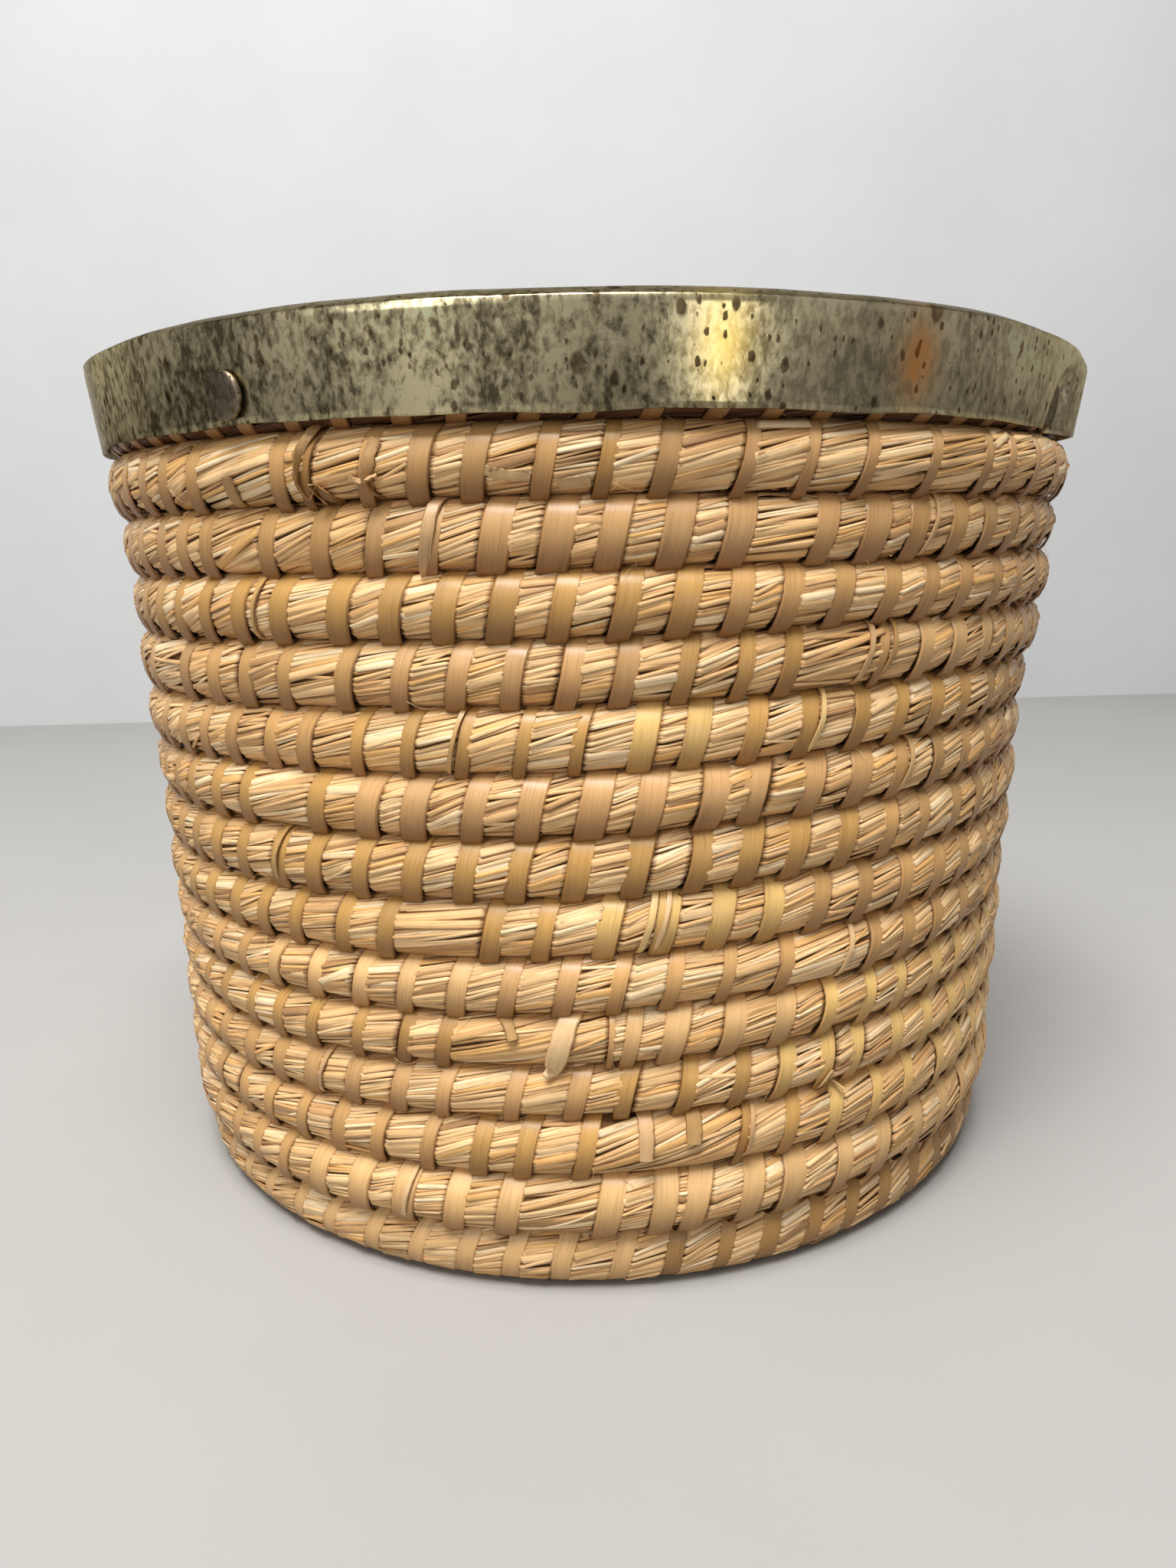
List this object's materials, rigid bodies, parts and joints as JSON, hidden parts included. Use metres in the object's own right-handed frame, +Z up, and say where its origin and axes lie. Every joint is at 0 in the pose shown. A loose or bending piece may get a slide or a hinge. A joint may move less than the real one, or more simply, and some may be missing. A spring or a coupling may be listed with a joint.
{
  "type": "coiled straw basket",
  "caption": "Round open basket of coiled straw bundles sewn with flat rattan, slightly flared, its rim capped by a riveted hammered brass channel.",
  "frame": {"origin": "centre of the base at floor level", "axes": "+Z up along the basket's axis, -Y towards the front, +X to the right"},
  "size_m": [0.3, 0.3, 0.24],
  "materials": {
    "straw": "dry matt golden straw",
    "rattan": "flat cane splint with a satin skin",
    "brass": "hammered brass with an aged, mottled olive patina",
    "rivet_brass": "dark brown aged brass"
  },
  "bodies": {
    "root": {"base_coil": "straw", "wall_coil_01": "straw", "wall_coil_02": "straw", "wall_coil_03": "straw", "wall_coil_04": "straw", "wall_coil_05": "straw", "wall_coil_06": "straw", "wall_coil_07": "straw", "wall_coil_08": "straw", "wall_coil_09": "straw", "wall_coil_10": "straw", "wall_coil_11": "straw", "wall_coil_12": "straw", "wall_coil_13": "straw", "wall_coil_14": "straw", "wall_coil_15": "straw", "rim_band": "brass", "rim_rivet_1": "rivet_brass", "rim_rivet_2": "rivet_brass", "rim_rivet_3": "rivet_brass", "rim_rivet_4": "rivet_brass"}
  },
  "joints": []
}
